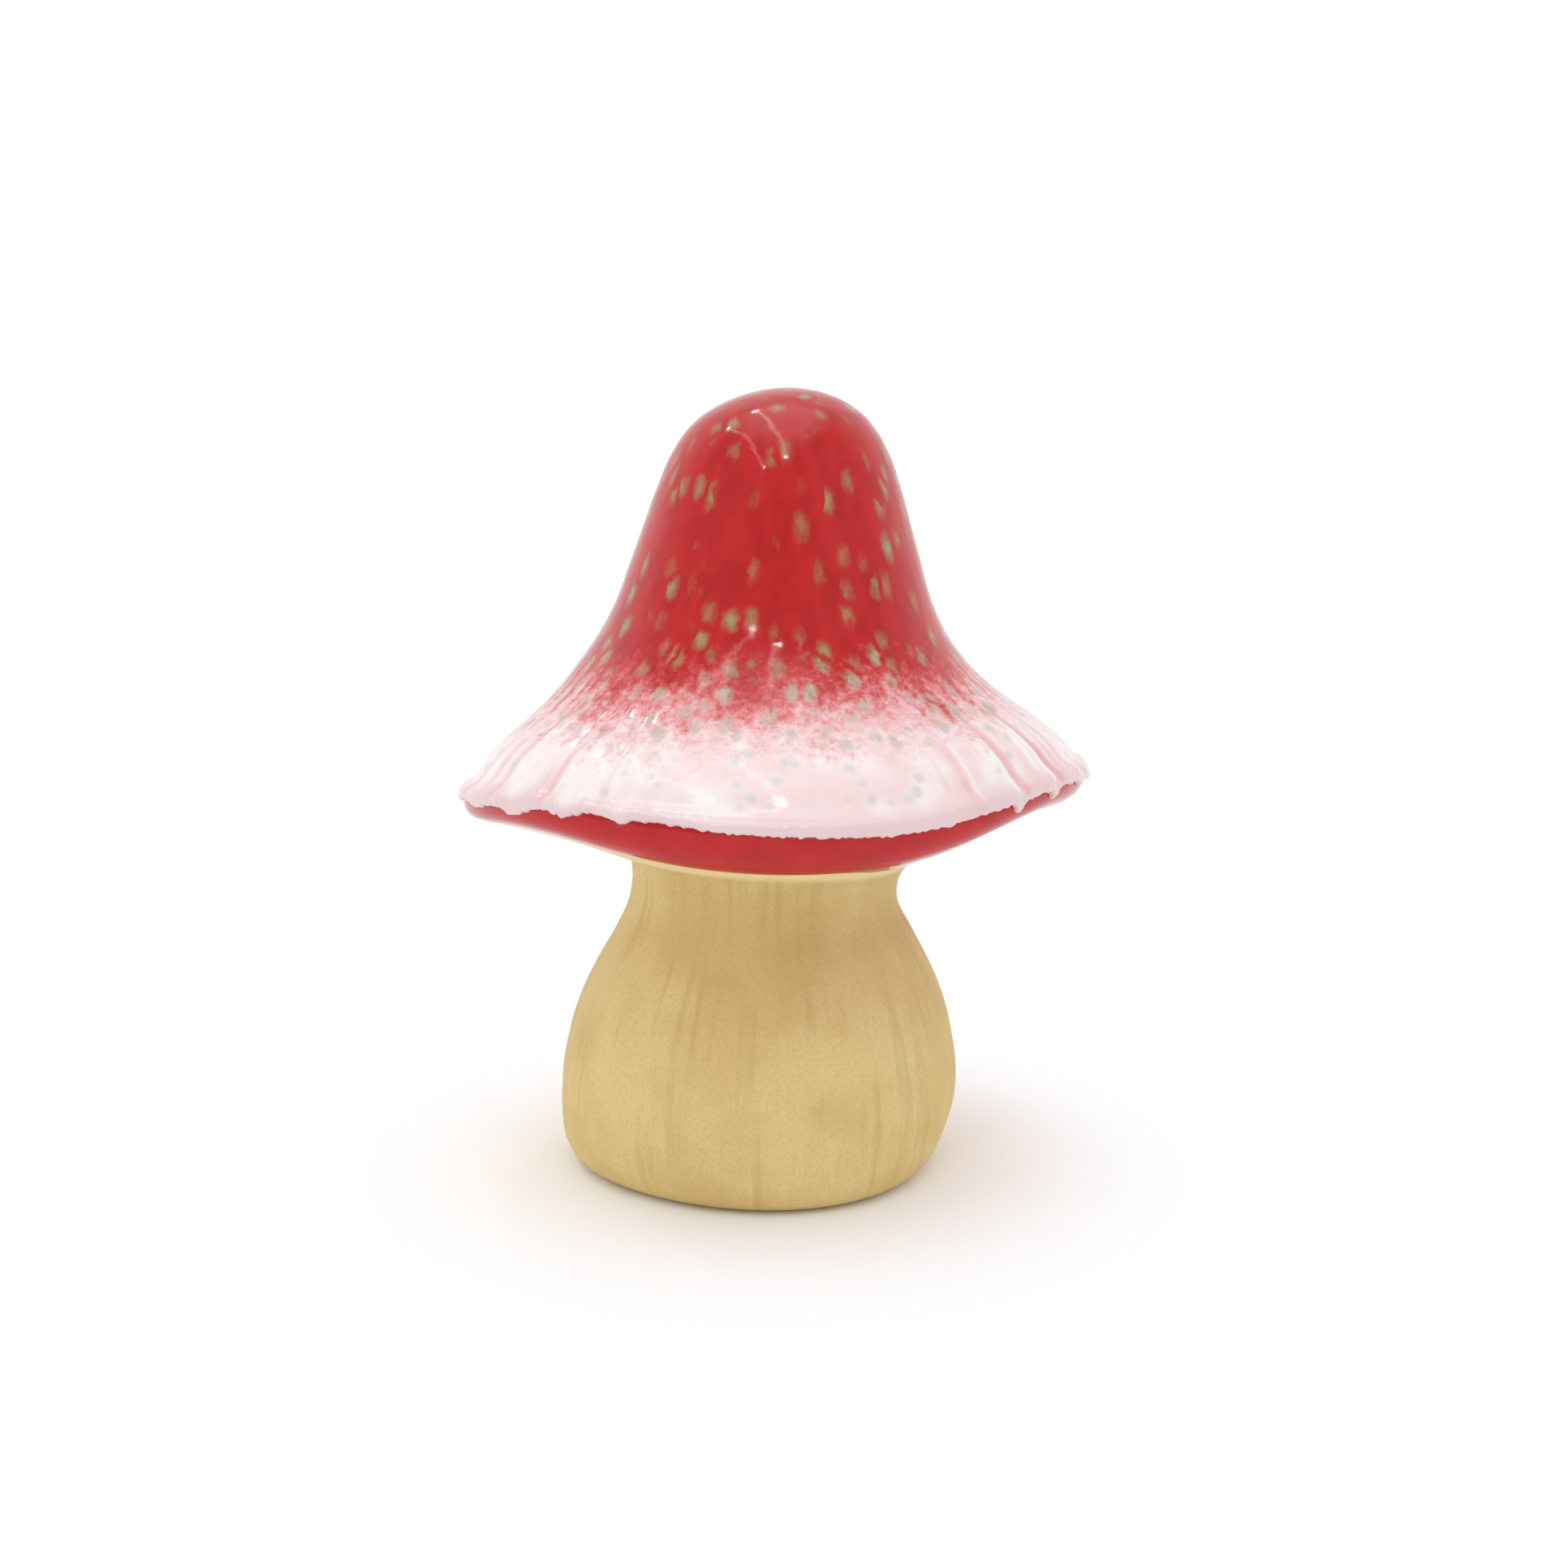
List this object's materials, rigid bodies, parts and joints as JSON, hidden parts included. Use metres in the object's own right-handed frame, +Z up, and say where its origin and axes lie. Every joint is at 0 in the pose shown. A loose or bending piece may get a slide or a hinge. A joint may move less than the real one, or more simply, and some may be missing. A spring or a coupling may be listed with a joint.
{
  "type": "ceramic mushroom ornament",
  "caption": "Free-standing ceramic mushroom figure: a glazed bell cap with a pleated brim, luted onto a bulbous hollow stem of bare clay.",
  "frame": {"origin": "middle of the flat foot that the ornament stands on", "axes": "+Z up the stem, -Y towards the front of the picture, +X to the right in it"},
  "size_m": [0.0973, 0.0972, 0.12],
  "materials": {
    "clay": "matte, unglazed, fine-grained",
    "joining_slip": "matte, unglazed",
    "red_glaze": "glossy, flecked",
    "white_glaze": "glossy, mottled pink and white"
  },
  "bodies": {
    "root": {"stem_body": "clay", "cap_body": "clay", "luting_ring": "joining_slip", "crown_glaze": "red_glaze", "brim_glaze": "white_glaze", "underside_glaze": "red_glaze"}
  },
  "joints": []
}
